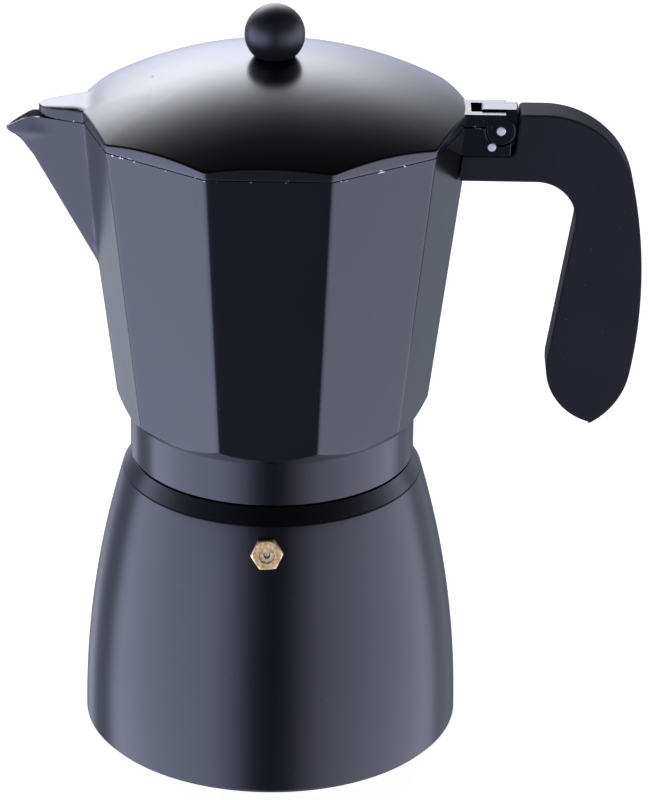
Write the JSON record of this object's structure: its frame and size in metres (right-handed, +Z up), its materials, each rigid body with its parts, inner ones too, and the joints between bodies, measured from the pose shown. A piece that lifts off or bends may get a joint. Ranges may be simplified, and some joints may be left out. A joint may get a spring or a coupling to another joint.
{
  "type": "moka pot",
  "caption": "Stovetop coffee maker with a bell-shaped boiler, a faceted upper chamber with spout, a hinged domed lid with a ball knob, and a side handle.",
  "frame": {"origin": "centre of the boiler's flat resting face", "axes": "+Z up along the boiler's axis, +X towards the handle, -X towards the spout, -Y towards the safety valve"},
  "size_m": [0.2126, 0.13, 0.2587],
  "materials": {
    "black_lacquer": "satin black stoving lacquer on cast aluminium",
    "bare_aluminium": "turned and satin, as it leaves the lathe",
    "sieve_steel": "rolled stainless sheet with punched holes",
    "brass": "turned brass, slightly dulled",
    "steel": "drawn steel wire and rod, bright",
    "fibre": "red-brown vulcanised fibre",
    "gasket_rubber": "off-white food-grade silicone rubber",
    "knob_plastic": "moulded black phenolic, glossy",
    "handle_plastic": "moulded black phenolic with a fine matt texture"
  },
  "bodies": {
    "boiler": {"boiler": "black_lacquer", "valve_body": "brass", "valve_washer": "fibre", "valve_retainer": "brass", "valve_spring": "steel"},
    "valve_plunger": {"valve_plunger": "steel"},
    "funnel": {"funnel_basket": "bare_aluminium", "funnel_tube": "bare_aluminium", "funnel_sieve": "sieve_steel"},
    "seal": {"gasket": "gasket_rubber"},
    "collector": {"filter_plate": "sieve_steel", "upper_chamber": "black_lacquer", "riser_column": "bare_aluminium", "hinge_pin": "steel", "handle": "handle_plastic", "handle_pin": "steel"},
    "lid": {"lid": "black_lacquer", "knob": "knob_plastic", "knob_insert": "brass", "knob_screw": "steel", "knob_washer": "steel"}
  },
  "joints": [
    {"name": "seal_rise", "type": "slide", "parent": "boiler", "child": "seal", "axis": [0, 0, 1], "range_m": [0, 0.009]},
    {"name": "collector_turn", "type": "hinge", "parent": "seal", "child": "collector", "pos_m": [0, 0, 0.1], "axis": [0, 0, 1], "range_deg": [0, 1080]},
    {"name": "funnel_lift", "type": "slide", "parent": "boiler", "child": "funnel", "axis": [0, 0, 1], "range_m": [0, 0.0045]},
    {"name": "lid_hinge", "type": "hinge", "parent": "collector", "child": "lid", "pos_m": [0.0748, 0, 0.219], "axis": [0, 1, 0], "range_deg": [0, 95]},
    {"name": "valve_lift", "type": "slide", "parent": "boiler", "child": "valve_plunger", "axis": [0, -0.966, 0.2585], "range_m": [0, 0.001], "stiffness_N_per_m": 800, "springref_m": -0.0025, "deforming": ["valve_spring"]}
  ],
  "couplings": [
    {"joint": "seal_rise", "follows": "collector_turn", "m_per_rad": 0.00047746},
    {"joint": "funnel_lift", "follows": "collector_turn", "m_per_rad": 0.00023873}
  ]
}
